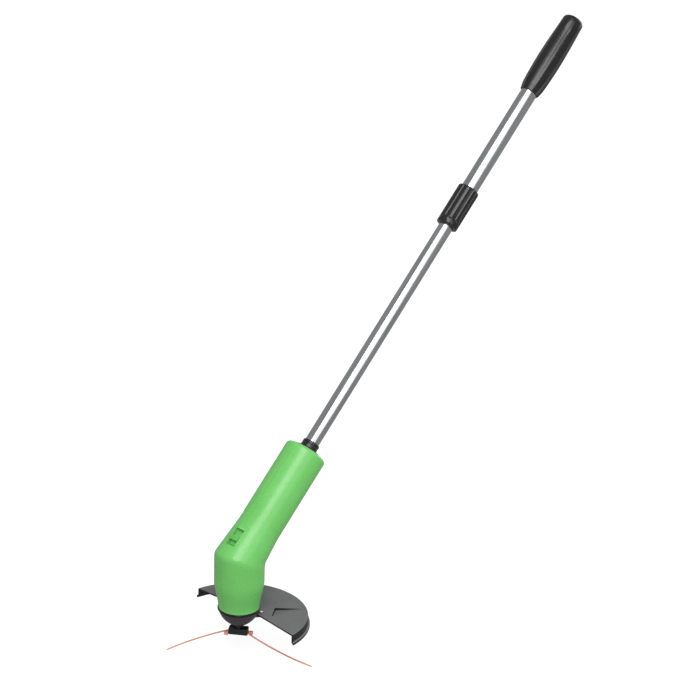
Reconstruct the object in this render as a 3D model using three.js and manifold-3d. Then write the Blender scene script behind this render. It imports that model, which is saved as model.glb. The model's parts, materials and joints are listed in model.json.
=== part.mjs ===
// A cordless string trimmer that cuts with nylon cable ties.
//
// Millimetres, +Z up. The origin is the middle of the cutter hub's bottom face and
// +Z is the cutter spindle. The pole leans back towards +X, where the operator
// stands, and +Y is the operator's right. The object is symmetric about the XZ
// plane, apart from its screws, leads and cells.
//
// Pieces of the upper barrel and the pole are drawn in the pole's own frame: its
// origin is the knuckle, z runs up the pole, -x is the top side with the switch and
// +x is the underside with the battery cover.
import * as THREE from "three";
import { mergeVertices } from "three/addons/utils/BufferGeometryUtils.js";
import { ConvexGeometry } from "three/addons/geometries/ConvexGeometry.js";
import Module from "manifold-3d";

const wasm = await Module();
wasm.setup();

// ---- Driving dimensions ----

const GAP = 0.3; // clearance between neighbouring pieces
const TILT = THREE.MathUtils.degToRad(45); // pole from the spindle
const KNUCKLE_Z = 102.5; // where the two barrel axes cross
const ROUND = 28; // sides of a large round piece
const SMALL_ROUND = 12; // sides of a small one

// Housing
const WALL = 2.2;
const KNUCKLE_R = 31.4;
const KNUCKLE_REACH = 13; // the barrels keep the knuckle's radius this far from it
const MOUTH_R = 25.8; // lower barrel, at its bottom edge
const MOUTH_Z = 38.1;
const BULGE_Z = 84; // the lower barrel has swollen to the knuckle's radius here
const UPPER_R = 27.4; // upper barrel
const UPPER_END = 159.5; // along the pole
const NECK_LENGTH = 30; // the upper barrel narrows over this length
const END_WALL = 3;
const END_ROUNDING = 4.5;
const SOCKET_HOLE_R = 14.3;

// Nose, rim and guard
const RIM = { bottom: 35, inner: 21, r: 26.8 };
const NOSE_TOP = 34.7;
const NOSE_TOP_R = 25.6;
const NOSE_BOTTOM = 16;
const NOSE_BOTTOM_R = 12.5;
const NOSE_BULGE = { r: 22.3, z: 23 }; // control point of the dome's curve
const PLATE_TOP = 27;
const PLATE_THICKNESS = 2;
const PLATE_BORE = 22.8;
const PLATE_R = 86.6;
const LIP_R = 88.9;
const LIP_TOP = 16.6;
const LIP_BOTTOM = 13.6;
const GUARD_SCREW = { x: 23.2, y: 15.6, r: 1.4, length: 7.2, headR: 2.6, headHeight: 1.7 };
// The front edge of the guard: straight past the nose, then sloping back to the ends.
const GUARD_FRONT = { x: 15.8, y: 22, endX: 9.2, endY: 92 };
// A wedge-shaped step pressed into the plate, mirrored on the other side.
const STEP = {
  corner: { x: 43.6, y: 18.7, depth: 3.2 },
  near: { x: 25.7, y: 31.9, depth: 2.6 },
  far: { x: 67.5, y: 44.1, depth: 0 },
  draft: 1.2, // lean of the wall on its inner side
};

// Motor, a 27.7 mm can
const MOTOR_R = 13.85;
const MOTOR_BOTTOM = 43;
const MOTOR_TOP = 75;
const MOUNT_BOTTOM = 40;
const MOUNT_R = 23.2;
const MOUNT_RIM_TOP = 54; // the mount's collar holds the can up to here
const MOTOR_HOLE_R = 4.5;
const SHAFT_R = 1.5;

// AA cells, two side by side and two end to end
const CELL = { r: 7.25, length: 50.3, nub: 1, nubR: 2.75 };
const CELL_Y = 7.6;
const CELL_X = 6;
const TRAY = { start: 28, end: 138.5, wall: 1.5, y: 16.7, floorX: -3.3, rimX: 11 };
const PLATE = { lowS: 29.8, highS: 136.2, t: 0.5 };
const SPRING_LENGTH = 4.1;

// Switch
const POCKET = { start: 5, end: 29.5, halfWidth: 7, floorX: -23.6, floorT: 1.5 };
const SLIDER_AT = 16.3;
const SLIDER_TRAVEL = 5;
const SLOT = { halfWidth: 2, start: SLIDER_AT - 2.5, end: SLIDER_AT + SLIDER_TRAVEL + 2.5 };

// Telescoping pole, a 22 mm tube over a 19 mm one
const LOWER_TUBE = { r: 9.5, bore: 8.7, start: 142, end: 564 };
const UPPER_TUBE = { r: 11, bore: 10.2, start: 522, end: 812 };
const SLEEVE = { start: 504, end: 561.5, r: 14.5 };
const GRIP = { start: 715.5, end: 836 };

// Cutter
const HUB = { length: 24.5, width: 11.8, height: 8, neckTop: 15.2, neckR: 4.5 };
const HUB_TURN = THREE.MathUtils.degToRad(-54); // the way the ties point at rest
const TIE = { width: 2.5, t: 1.1, z: 1.7, y: 2.7 };
const TIE_HEAD = { length: 5.2, halfWidth: 2.3, below: 3.6, above: 0.7 };

// ---- Materials ----

const material = (color, roughness, metalness = 0) =>
  new THREE.MeshStandardMaterial({ color, roughness, metalness });
const green = material(0x6fc765, 0.4);
const darkGreen = material(0x55a84d, 0.45);
const blackGloss = material(0x1c1c1e, 0.3);
const blackSatin = material(0x2e2a2c, 0.5);
const greyBlack = material(0x4a4a4b, 0.6);
const steel = material(0xc4c6c8, 0.18, 1);
const zinc = material(0xb8b9ba, 0.35, 1);
const orange = material(0xf0794f, 0.45);
const copper = material(0xb06a3c, 0.35, 1);
const bronze = material(0x9a7a45, 0.45, 1);
const graphite = material(0x35353a, 0.7);
const laminations = material(0x7c7f84, 0.5, 1);
const cellWrap = material(0x3a4a8c, 0.4);
const nylon = material(0xd8d4c8, 0.5);
const redWire = material(0xb03028, 0.5);
const blackWire = material(0x222222, 0.5);

// ---- Solids: shapes joined and cut ----

function solid(geometry) {
  const bare = geometry.clone();
  bare.deleteAttribute("normal");
  bare.deleteAttribute("uv");
  const merged = mergeVertices(bare, 1e-4);
  return new wasm.Manifold(
    new wasm.Mesh({
      numProp: 3,
      vertProperties: merged.attributes.position.array,
      triVerts: new Uint32Array(merged.index.array),
    }),
  );
}

function geometryOf(body) {
  const { vertProperties, triVerts } = body.getMesh();
  const geometry = new THREE.BufferGeometry()
    .setAttribute("position", new THREE.BufferAttribute(vertProperties, 3))
    .setIndex(new THREE.BufferAttribute(triVerts, 1));
  geometry.computeVertexNormals();
  return geometry;
}

// First body with the rest joined on, or cut away.
const join = (first, ...rest) => rest.reduce((body, next) => body.add(next), first);
const cut = (first, ...rest) => rest.reduce((body, next) => body.subtract(next), first);

// A profile of [radius, height] points turned about z.
function turned(profile, sides = ROUND) {
  const points = profile.map(([r, z]) => new THREE.Vector2(r, z));
  if (THREE.ShapeUtils.isClockWise(points)) points.reverse();
  const first = points[0];
  if (!(first.x === 0 && points.at(-1).x === 0)) points.push(first.clone());
  return new THREE.LatheGeometry(points, sides).rotateX(Math.PI / 2);
}

const rod = (r, from, to, sides = SMALL_ROUND) =>
  turned([[0, from], [r, from], [r, to], [0, to]], sides);

const ring = (inner, outer, from, to, sides = ROUND) =>
  turned([[inner, from], [outer, from], [outer, to], [inner, to]], sides);

// A box between two corners.
function block([x0, x1], [y0, y1], [z0, z1]) {
  const box = new THREE.BoxGeometry(x1 - x0, y1 - y0, z1 - z0);
  return box.translate((x0 + x1) / 2, (y0 + y1) / 2, (z0 + z1) / 2);
}

// An outline of [x, y] points extruded from one height to another.
function prism(outline, from, to) {
  const shape = new THREE.Shape(outline.map(([x, y]) => new THREE.Vector2(x, y)));
  const options = { depth: to - from, bevelEnabled: false };
  return new THREE.ExtrudeGeometry(shape, options).translate(0, 0, from);
}

// A pan-head screw: its head sits on z = 0 and its shank runs down.
function screw(r, length, headR, headHeight) {
  const profile = [
    [0, -length], [r * 0.6, -length], [r, -length + r], [r, 0],
    [headR, 0], [headR, headHeight * 0.6], [headR * 0.7, headHeight], [0, headHeight],
  ];
  return turned(profile, SMALL_ROUND);
}

// A wire of the given radius along a smooth curve.
function wire(points, r, steps, sides = 5) {
  const section = new THREE.Shape();
  for (let i = 0; i < sides; i++) {
    const angle = (i / sides) * 2 * Math.PI;
    const [x, y] = [r * Math.cos(angle), r * Math.sin(angle)];
    if (i === 0) section.moveTo(x, y);
    else section.lineTo(x, y);
  }
  const extrudePath = new THREE.CatmullRomCurve3(points);
  return new THREE.ExtrudeGeometry(section, { steps, extrudePath, bevelEnabled: false });
}

// ---- The scene graph ----

const trimmer = new THREE.Group();
const pole = new THREE.Group();
pole.position.z = KNUCKLE_Z;
pole.rotation.y = TILT;
const cutter = new THREE.Group();
cutter.rotation.z = HUB_TURN;
trimmer.add(pole, cutter);

const poleMatrix = new THREE.Matrix4().makeRotationY(TILT).setPosition(0, 0, KNUCKLE_Z);

// A point given in the pole's frame, in the part's own frame.
const onPole = (x, y, s) => new THREE.Vector3(x, y, s).applyMatrix4(poleMatrix);

function add(group, name, shape, look) {
  const geometry = shape.isBufferGeometry ? shape : geometryOf(shape);
  const mesh = new THREE.Mesh(geometry, look);
  mesh.name = name;
  group.add(mesh);
  return mesh;
}

// ---- Housing ----

// Lower barrel: widens evenly from its mouth, then rounds into the knuckle's radius.
function lowerRadius(z) {
  const t = Math.min((z - MOUTH_Z) / (BULGE_Z - MOUTH_Z), 1);
  return MOUTH_R + (KNUCKLE_R - MOUTH_R) * Math.sin((Math.PI / 2) * t ** 1.2);
}

// Upper barrel: eases from the knuckle's radius to its own.
function upperRadius(s) {
  const t = THREE.MathUtils.clamp((s - KNUCKLE_REACH) / NECK_LENGTH, 0, 1);
  return UPPER_R + (KNUCKLE_R - UPPER_R) * (1 - t) ** 3;
}

// Points of a radius profile at some stations, set inwards.
function barrelProfile(radius, stations, inset) {
  return stations.map((at) => [radius(at) - inset, at]);
}

// The space on the far side of the miter plane that halves the knuckle's angle,
// starting a little above the plane or below it.
function miterBlock(shift) {
  const size = 400;
  const half = new THREE.BoxGeometry(size, size, size).translate(0, 0, size / 2 + shift);
  return solid(half.rotateY(TILT / 2).translate(0, 0, KNUCKLE_Z));
}

// The bent barrel: full size, or its cavity when inset by the wall.
function barrel(inset) {
  const past = 60; // both barrels run on past the miter plane that cuts them
  const open = inset > 0 ? 5 : 0;
  const lowerStations = [MOUTH_Z, 47, 56, 65, 74, BULGE_Z];
  const lower = turned([
    [0, MOUTH_Z - open],
    [MOUTH_R - inset, MOUTH_Z - open],
    ...barrelProfile(lowerRadius, lowerStations, inset),
    [KNUCKLE_R - inset, KNUCKLE_Z + past],
    [0, KNUCKLE_Z + past],
  ]);
  const top = inset > 0 ? UPPER_END - END_WALL : UPPER_END;
  const corner = END_ROUNDING - inset;
  const rounding = [1 / 3, 2 / 3, 1].map((t) => {
    const angle = (t * Math.PI) / 2;
    const drop = corner * (1 - Math.sin(angle));
    return [UPPER_R - inset - corner * (1 - Math.cos(angle)), top - drop];
  });
  const upper = turned([
    [0, -past],
    [KNUCKLE_R - inset, -past],
    ...barrelProfile(upperRadius, [KNUCKLE_REACH, 18, 25, KNUCKLE_REACH + NECK_LENGTH], inset),
    [UPPER_R - inset, top - corner],
    ...rounding,
    [0, top],
  ]).applyMatrix4(poleMatrix);
  const lap = 0.02; // the two barrels lap by this much, so that they join cleanly
  const [below, above] = [miterBlock(lap), miterBlock(0)];
  return join(solid(lower).subtract(below), solid(upper).intersect(above));
}

const outer = barrel(0);
const cavity = barrel(WALL);

const poleSolid = (geometry) => solid(geometry.applyMatrix4(poleMatrix));

// Switch pocket: a flat-floored recess, with a slot for the slider's stem.
const { start: pocketStart, end: pocketEnd, halfWidth, floorX, floorT } = POCKET;
const pocketBoss = poleSolid(
  block(
    [-KNUCKLE_R, floorX + floorT],
    [-halfWidth - WALL, halfWidth + WALL],
    [pocketStart - WALL, pocketEnd + WALL],
  ),
).intersect(outer);
const pocketRecess = poleSolid(
  block([-KNUCKLE_R - 5, floorX], [-halfWidth, halfWidth], [pocketStart, pocketEnd]),
);
const stemSlot = poleSolid(
  block([-KNUCKLE_R, floorX + 4], [-SLOT.halfWidth, SLOT.halfWidth], [SLOT.start, SLOT.end]),
);

// Battery door opening in the underside, and the cover that fills it.
const DOOR = { start: 31, end: 136, y: 16 };
const doorOpening = poleSolid(
  block([0, KNUCKLE_R + 5], [-DOOR.y, DOOR.y], [DOOR.start, DOOR.end]),
);
const socketHole = poleSolid(rod(SOCKET_HOLE_R, UPPER_END - 8, UPPER_END + 2, ROUND));

// Screws that hold the two halves together, driven from the +Y side.
const BOSS_R = 3.4;
const SEAT_Y = 12; // the heads sit this far from the parting plane
const HOLE_END = -9.5; // the holes stop this far into the other half
const HOUSING_SCREW = { r: 1.4, length: SEAT_Y + 8.5, headR: 2.7, headHeight: 2 };
const housingScrews = [
  new THREE.Vector3(-20, 0, 60),
  new THREE.Vector3(20, 0, 60),
  onPole(-18, 0, 52),
  onPole(-18, 0, 131),
];

// A rod along y through a point of the XZ plane.
function crossRod(at, r, fromY, toY) {
  const along = rod(r, fromY, toY, 12).rotateX(-Math.PI / 2);
  return solid(along.translate(at.x, 0, at.z));
}

const bosses = housingScrews.map((at) => crossRod(at, BOSS_R, -KNUCKLE_R, KNUCKLE_R));
const holeR = HOUSING_SCREW.r + 0.4;
const seatR = HOUSING_SCREW.headR + 0.4;
const screwHoles = housingScrews.map((at) => crossRod(at, holeR, HOLE_END, SEAT_Y + 1));
const screwSeats = housingScrews.map((at) => crossRod(at, seatR, SEAT_Y, KNUCKLE_R + 5));

const shell = cut(
  join(cut(outer, cavity), pocketBoss, join(...bosses).intersect(outer)),
  pocketRecess,
  stemSlot,
  doorOpening,
  socketHole,
  ...screwHoles,
  ...screwSeats,
);

// The half of space on one side of the parting plane, less half the gap.
function sideOf(sign) {
  const size = 600;
  const half = new THREE.BoxGeometry(size, size, size);
  return solid(half.translate(0, sign * (size / 2 + GAP / 2), 0));
}

add(trimmer, "housing_left", shell.intersect(sideOf(-1)), green);
add(trimmer, "housing_right", shell.intersect(sideOf(1)), green);

housingScrews.forEach((at, i) => {
  const { r, length, headR, headHeight } = HOUSING_SCREW;
  const piece = screw(r, length, headR, headHeight);
  const name = `housing_screw_${i + 1}`;
  const mesh = add(trimmer, name, piece, zinc);
  mesh.rotation.x = -Math.PI / 2;
  mesh.position.set(at.x, SEAT_Y + GAP, at.z);
});

// The cover: the wall's own shape inside the opening, with thumb ribs.
const doorFill = poleSolid(
  block([0, KNUCKLE_R + 5], [0.4 - DOOR.y, DOOR.y - 0.4], [DOOR.start + 0.4, DOOR.end - 0.4]),
);
const THUMB_RIB = { first: 121, pitch: 3, length: 1.4, halfWidth: 5, height: 0.6 };
const thumbRibs = [0, 1, 2].map((i) => {
  const s = THUMB_RIB.first + i * THUMB_RIB.pitch;
  const across = [-THUMB_RIB.halfWidth, THUMB_RIB.halfWidth];
  const ribX = [UPPER_R - WALL / 2, UPPER_R + THUMB_RIB.height];
  return poleSolid(block(ribX, across, [s, s + THUMB_RIB.length]));
});
const coverWall = cut(outer, cavity).intersect(doorFill);
add(trimmer, "battery_cover", join(coverWall, ...thumbRibs), green);

// ---- Nose, rim and guard ----

function noseProfile() {
  const flank = new THREE.QuadraticBezierCurve(
    new THREE.Vector2(NOSE_BOTTOM_R, NOSE_BOTTOM),
    new THREE.Vector2(NOSE_BULGE.r, NOSE_BULGE.z),
    new THREE.Vector2(NOSE_TOP_R, NOSE_TOP),
  );
  const outside = flank.getPoints(5).map(({ x, y }) => [x, y]);
  const collar = [[20.7, NOSE_TOP], [20.7, 39.4], [18.9, 39.4], [18.9, 33]];
  const inside = [[20.8, 30.5], [18.4, 25.6], [14.9, 20.9], [11.2, NOSE_BOTTOM + 2.2]];
  const bore = [[3.6, NOSE_BOTTOM + 2.2], [3.6, NOSE_BOTTOM]];
  return [...outside, ...collar, ...inside, ...bore];
}

const guardScrewY = [-GUARD_SCREW.y, GUARD_SCREW.y];
const plateBottom = PLATE_TOP - PLATE_THICKNESS;
// Each screw goes into a small boss, held off the dome by a web.
const LUG = { r: 3.6, webHalf: 2.6, bottom: 21.2, rootR: 17.4, holeR: 1.75 };
const lugs = guardScrewY.map((y) => {
  const span = [LUG.bottom, plateBottom - GAP];
  const boss = rod(LUG.r, ...span).translate(GUARD_SCREW.x, y, 0);
  const web = block([LUG.rootR, Math.hypot(GUARD_SCREW.x, y)], [-LUG.webHalf, LUG.webHalf], span);
  return join(solid(boss), solid(web.rotateZ(Math.atan2(y, GUARD_SCREW.x))));
});
const lugHoles = guardScrewY.map((y) =>
  solid(rod(LUG.holeR, LUG.bottom - 1, PLATE_TOP).translate(GUARD_SCREW.x, y, 0)),
);
const nose = solid(turned(noseProfile()));
add(trimmer, "nose_cap", cut(join(nose, ...lugs), ...lugHoles), blackSatin);

add(trimmer, "rim_ring", ring(RIM.inner, RIM.r, RIM.bottom, MOUTH_Z - GAP), blackGloss);

// Guard: a flat plate, a skirt and a flared lip, cut off in front along a shallow V.
function guard() {
  const t = PLATE_THICKNESS;
  const profile = [
    [PLATE_BORE, PLATE_TOP], [PLATE_R - 1, PLATE_TOP], [PLATE_R, PLATE_TOP - 1],
    [PLATE_R, LIP_TOP + 1], [LIP_R, LIP_TOP], [LIP_R, LIP_BOTTOM], [LIP_R - t, LIP_BOTTOM],
    [LIP_R - t, LIP_TOP - t], [PLATE_R - t, LIP_TOP - t + 1], [PLATE_R - t, plateBottom],
    [PLATE_BORE, plateBottom],
  ];
  const { x, y, endX, endY } = GUARD_FRONT;
  const keep = prism(
    [[x, 0], [x, -y], [endX, -endY], [endY, -endY], [endY, endY], [endX, endY], [x, y]],
    LIP_BOTTOM - 5,
    PLATE_TOP + 5,
  );
  const holes = guardScrewY.map((screwY) =>
    solid(rod(1.9, PLATE_TOP - 6, PLATE_TOP + 4).translate(GUARD_SCREW.x, screwY, 0)),
  );
  const full = join(solid(turned(profile, 52)), ...[-1, 1].map((side) => stepWedge(side, t)));
  return cut(full.intersect(solid(keep)), ...holes, ...[-1, 1].map((side) => stepWedge(side, 0)));
}

// The step's wedge: the hollow itself, or with a margin the pan that holds it.
function stepWedge(side, margin) {
  const { corner, near, far, draft } = STEP;
  const middle = new THREE.Vector2(
    (corner.x + near.x + far.x) / 3,
    (corner.y + near.y + far.y) / 3,
  );
  const inward = new THREE.Vector2(corner.y - near.y, near.x - corner.x).normalize().negate();
  const top = margin > 0 ? plateBottom + 0.5 : PLATE_TOP + 1;
  const points = [];
  for (const spot of [corner, near, far]) {
    const at = new THREE.Vector2(spot.x, spot.y);
    const out = at.clone().sub(middle).setLength(margin);
    at.add(out);
    points.push(new THREE.Vector3(at.x, side * at.y, top));
    if (spot !== far) at.addScaledVector(inward, draft);
    const low = PLATE_TOP - Math.max(spot.depth, 0.05) - margin;
    points.push(new THREE.Vector3(at.x, side * at.y, low));
  }
  return solid(new ConvexGeometry(points));
}

add(trimmer, "guard", guard(), greyBlack);
guardScrewY.forEach((y, i) => {
  const { r, length, headR, headHeight } = GUARD_SCREW;
  const piece = screw(r, length, headR, headHeight);
  const mesh = add(trimmer, `guard_screw_${i + 1}`, piece, zinc);
  mesh.position.set(GUARD_SCREW.x, y, PLATE_TOP + GAP);
});

// ---- Motor ----

const mountTop = MOTOR_BOTTOM - GAP;
const motorScrewX = [-8, 8];
const motorScrewHoles = (r) =>
  motorScrewX.map((x) => solid(rod(r, MOUNT_BOTTOM - 2, MOTOR_BOTTOM + 4).translate(x, 0, 0)));

const mountProfile = [
  [MOTOR_HOLE_R, MOUNT_BOTTOM], [MOUNT_R, MOUNT_BOTTOM], [MOUNT_R, mountTop],
  [MOTOR_R + 2.3, mountTop], [MOTOR_R + 2.3, MOUNT_RIM_TOP], [MOTOR_R + GAP, MOUNT_RIM_TOP],
  [MOTOR_R + GAP, mountTop], [MOTOR_HOLE_R, mountTop],
];
const mount = cut(solid(turned(mountProfile)), ...motorScrewHoles(1.5));
add(trimmer, "motor_mount", mount, blackSatin);

const canProfile = [
  [3.4, MOTOR_BOTTOM], [MOTOR_R, MOTOR_BOTTOM], [MOTOR_R, MOTOR_TOP],
  [MOTOR_R - 0.9, MOTOR_TOP], [MOTOR_R - 0.9, MOTOR_BOTTOM + 1.2], [3.4, MOTOR_BOTTOM + 1.2],
];
const can = cut(solid(turned(canProfile)), ...motorScrewHoles(1.5));
add(trimmer, "motor_can", can, zinc);
motorScrewX.forEach((x, i) => {
  const mesh = add(trimmer, `motor_screw_${i + 1}`, screw(1.1, 4.6, 2.2, 1.4), zinc);
  mesh.rotation.x = Math.PI;
  mesh.position.set(x, 0, MOUNT_BOTTOM - GAP);
});

// End bell with two prongs that hold the brushes.
const bellBottom = MOTOR_TOP + GAP;
const bell = join(
  solid(ring(3.4, MOTOR_R, bellBottom, bellBottom + 3.5)),
  ...[-1, 1].map((side) =>
    solid(block([-3, 3], side < 0 ? [-12, -8.6] : [8.6, 12], [69.5, bellBottom + 1])),
  ),
);
add(trimmer, "end_bell", bell, nylon);

const bushProfile = (bottom) => [
  [SHAFT_R + GAP, bottom], [3, bottom], [3, bottom + 1.8], [4.2, bottom + 1.8],
  [4.2, bottom + 2.8], [SHAFT_R + GAP, bottom + 2.8],
];
add(trimmer, "bush_lower", turned(bushProfile(MOTOR_BOTTOM - 0.2), SMALL_ROUND), bronze);
const upperBush = turned(bushProfile(0), SMALL_ROUND).translate(0, 0, bellBottom + 2);
add(trimmer, "bush_upper", upperBush, bronze);

[-1, 1].forEach((side, i) => {
  const arc = ring(10.8, 12.6, 47, 69);
  const half = block(side < 0 ? [-14, -6] : [6, 14], [-14, 14], [40, 80]);
  add(trimmer, `magnet_${i + 1}`, solid(arc).intersect(solid(half)), graphite);
  const brushY = side < 0 ? [-8.3, -4.4] : [4.4, 8.3];
  add(trimmer, `brush_${i + 1}`, block([-1.6, 1.6], brushY, [70, 74]), graphite);
});

// ---- Battery compartment ----

const trayFloorTop = TRAY.floorX + TRAY.wall;
const trayWalls = [
  block([TRAY.floorX, trayFloorTop], [-TRAY.y, TRAY.y], [TRAY.start, TRAY.end]),
  block([TRAY.floorX, TRAY.rimX], [-TRAY.y, -TRAY.y + TRAY.wall], [TRAY.start, TRAY.end]),
  block([TRAY.floorX, TRAY.rimX], [TRAY.y - TRAY.wall, TRAY.y], [TRAY.start, TRAY.end]),
  block([TRAY.floorX, TRAY.rimX], [-TRAY.y, TRAY.y], [TRAY.start, TRAY.start + TRAY.wall]),
  block([TRAY.floorX, TRAY.rimX], [-TRAY.y, TRAY.y], [TRAY.end - TRAY.wall, TRAY.end]),
].map(solid);
const tabSlots = [-CELL_Y, CELL_Y].map((y) =>
  solid(block([TRAY.floorX - 1, trayFloorTop + 1], [y - 1.6, y + 1.6], [135.6, 137])),
);
add(pole, "battery_tray", cut(join(...trayWalls), ...tabSlots), blackSatin);

// A cell from its flat end to its nub, pointing up the pole or down it.
function cell(from, up) {
  const bodyEnd = CELL.length - CELL.nub;
  const profile = [
    [0, 0], [CELL.r - 0.6, 0], [CELL.r, 0.6], [CELL.r, bodyEnd - 0.6], [CELL.r - 0.6, bodyEnd],
    [CELL.nubR, bodyEnd], [CELL.nubR, CELL.length], [0, CELL.length],
  ];
  const piece = turned(profile, 16);
  if (!up) piece.rotateX(Math.PI).translate(0, 0, CELL.length);
  return piece.translate(CELL_X, up ? CELL_Y : -CELL_Y, from);
}

const plateTopOfLow = PLATE.lowS + PLATE.t + GAP;
const columnUp = plateTopOfLow + SPRING_LENGTH + GAP; // its spring is at the lower end
const columnDown = plateTopOfLow; // its spring is at the upper end
const pitch = CELL.length + GAP;
add(pole, "cell_1", cell(columnUp, true), cellWrap);
add(pole, "cell_2", cell(columnUp + pitch, true), cellWrap);
add(pole, "cell_3", cell(columnDown, false), cellWrap);
add(pole, "cell_4", cell(columnDown + pitch, false), cellWrap);

const plateX = [-0.5, 12.5];
const lowPlate = block(plateX, [-14, 14], [PLATE.lowS, PLATE.lowS + PLATE.t]);
add(pole, "bridge_plate", lowPlate, zinc);
[["terminal_a", CELL_Y], ["terminal_b", -CELL_Y]].forEach(([name, y]) => {
  const span = [PLATE.highS, PLATE.highS + PLATE.t];
  const face = solid(block(plateX, [y - 6, y + 6], span));
  const tab = solid(block([-5.5, 0], [y - 1.2, y + 1.2], span));
  add(pole, name, join(face, tab), zinc);
});

// A contact spring: a tapering coil, wide at its plate and narrow at the cell.
function contactSpring(y, plateEnd, cellEnd) {
  const turns = 2.5;
  const steps = 24;
  const r = 0.35;
  const points = [];
  for (let i = 0; i <= steps; i++) {
    const t = i / steps;
    const angle = t * turns * 2 * Math.PI;
    const radius = 4.2 - 1.6 * t;
    const height = THREE.MathUtils.lerp(plateEnd, cellEnd, t);
    const [x, across] = [radius * Math.cos(angle), radius * Math.sin(angle)];
    points.push(new THREE.Vector3(CELL_X + x, y + across, height));
  }
  return wire(points, r, steps, 4);
}
const inset = 0.4; // the end coils stand this far off what they press on
const lowCoil = [plateTopOfLow + inset, columnUp - GAP - inset];
const highCoil = [PLATE.highS - GAP - inset, columnDown + 2 * pitch + inset];
add(pole, "spring_a", contactSpring(CELL_Y, ...lowCoil), steel);
add(pole, "spring_b", contactSpring(-CELL_Y, ...highCoil), steel);

// ---- Switch ----

const bodyTopX = floorX + floorT + GAP;
const bodyX = [bodyTopX, bodyTopX + 9];
const bodyS = [SLIDER_AT - 9, SLIDER_AT + 12];
const switchBody = cut(
  join(
    solid(block(bodyX, [-6, 6], bodyS)),
    solid(block([bodyX[1] - 3.4, bodyX[1] - 2.6], [2.6, 5.4], [bodyS[0] - 3, bodyS[1] + 3])),
  ),
  solid(
    block([bodyTopX - 1, bodyTopX + 4.6], [-2, 2], [SLIDER_AT - 2.6, SLIDER_AT + SLIDER_TRAVEL + 2.6]),
  ),
);
add(pole, "switch_body", switchBody, blackSatin);

// The slider: a thumb block with ridges on a base that covers the slot, and the stem
// that works the switch.
const THUMB = { halfLength: 3.2, halfWidth: 6.2, height: 5.6, ridge: 1 };
const BASE = { start: 8, end: 24.1, height: 1.1 };
const STEM = { half: 1.5, reach: 5.4 };
const thumbX = floorX - GAP;
const thumbY = [-THUMB.halfWidth, THUMB.halfWidth];
const ridges = [-2.2, 0, 2.2].map((offset) => {
  const from = SLIDER_AT + offset - 0.5;
  const ridgeX = [thumbX - THUMB.height - THUMB.ridge, thumbX - THUMB.height + 0.5];
  return solid(block(ridgeX, [thumbY[0] + 0.6, thumbY[1] - 0.6], [from, from + 1]));
});
const thumbS = [SLIDER_AT - THUMB.halfLength, SLIDER_AT + THUMB.halfLength];
const stemX = [thumbX - 1, thumbX + STEM.reach];
const slider = join(
  solid(block([thumbX - THUMB.height, thumbX], thumbY, thumbS)),
  solid(block([thumbX - BASE.height, thumbX], thumbY, [BASE.start, BASE.end])),
  solid(block(stemX, [-STEM.half, STEM.half], [SLIDER_AT - 2, SLIDER_AT + 2])),
  ...ridges,
);
add(pole, "switch_slider", slider, darkGreen);

// ---- Leads ----

const leadR = 0.8;
const tabX = -6.7;
const leadToSwitch = [
  onPole(tabX, CELL_Y, 136.4), onPole(-8.5, 8, 113), onPole(-9, 8, 60),
  onPole(-13, 5.5, 46), onPole(bodyX[1] - 3, 4, bodyS[1] + 4.2),
];
const motorLeadTop = onPole(bodyX[1] - 3, 4, bodyS[0] - 4.2);
const leadToMotor = [
  motorLeadTop, new THREE.Vector3(-4, 5, 108), new THREE.Vector3(0, 6.5, 92),
  new THREE.Vector3(0, 6.5, bellBottom + 4.6),
];
const leadReturn = [
  onPole(tabX, -CELL_Y, 136.4), onPole(-8.5, -8, 113), onPole(-8.5, -8, 40),
  onPole(-5, -7.5, 12), new THREE.Vector3(2, -6.5, 94),
  new THREE.Vector3(0, -6.5, bellBottom + 4.6),
];
add(trimmer, "lead_switch", wire(leadToSwitch, leadR, 26), redWire);
add(trimmer, "lead_motor", wire(leadToMotor, leadR, 12), redWire);
add(trimmer, "lead_return", wire(leadReturn, leadR, 32), blackWire);

// ---- Pole ----

// The socket plugs the barrel's end: flanges hold it on both sides of the end wall, and
// the lower tube stands on its floor.
const SOCKET = { start: 139, r: SOCKET_HOLE_R - 0.4, innerFlangeR: 18, flangeR: 16.8, ringR: 11.2 };
const socketFloor = LOWER_TUBE.start - 0.4;
const socketEnd = UPPER_END + 12.6;
const endWallInside = UPPER_END - END_WALL - GAP;
const socketProfile = [
  [0, SOCKET.start], [SOCKET.r, SOCKET.start], [SOCKET.r, 150], [SOCKET.innerFlangeR, 150],
  [SOCKET.innerFlangeR, endWallInside], [SOCKET.r, endWallInside],
  [SOCKET.r, UPPER_END + GAP], [SOCKET.flangeR, UPPER_END + GAP],
  [SOCKET.flangeR, UPPER_END + 2.2], [SOCKET.ringR, UPPER_END + 2.8],
  [SOCKET.ringR, socketEnd - 0.6], [SOCKET.ringR - 0.6, socketEnd],
  [LOWER_TUBE.r + GAP, socketEnd], [LOWER_TUBE.r + GAP, socketFloor], [0, socketFloor],
];
add(pole, "pole_socket", turned(socketProfile), blackGloss);

const tubeOf = ({ r, bore, start, end }) => ring(bore, r, start, end, 24);
add(pole, "lower_tube", tubeOf(LOWER_TUBE), steel);
add(pole, "upper_tube", tubeOf(UPPER_TUBE), steel);

// A nylon bush plugs the lower tube's end and slides in the upper tube.
const bushStart = LOWER_TUBE.end + GAP;
const guideProfile = [
  [0, bushStart - 12], [LOWER_TUBE.bore - GAP, bushStart - 12],
  [LOWER_TUBE.bore - GAP, bushStart], [UPPER_TUBE.bore - GAP, bushStart],
  [UPPER_TUBE.bore - GAP, bushStart + 9], [0, bushStart + 9],
];
add(pole, "guide_bush", turned(guideProfile, 20), nylon);

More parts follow.
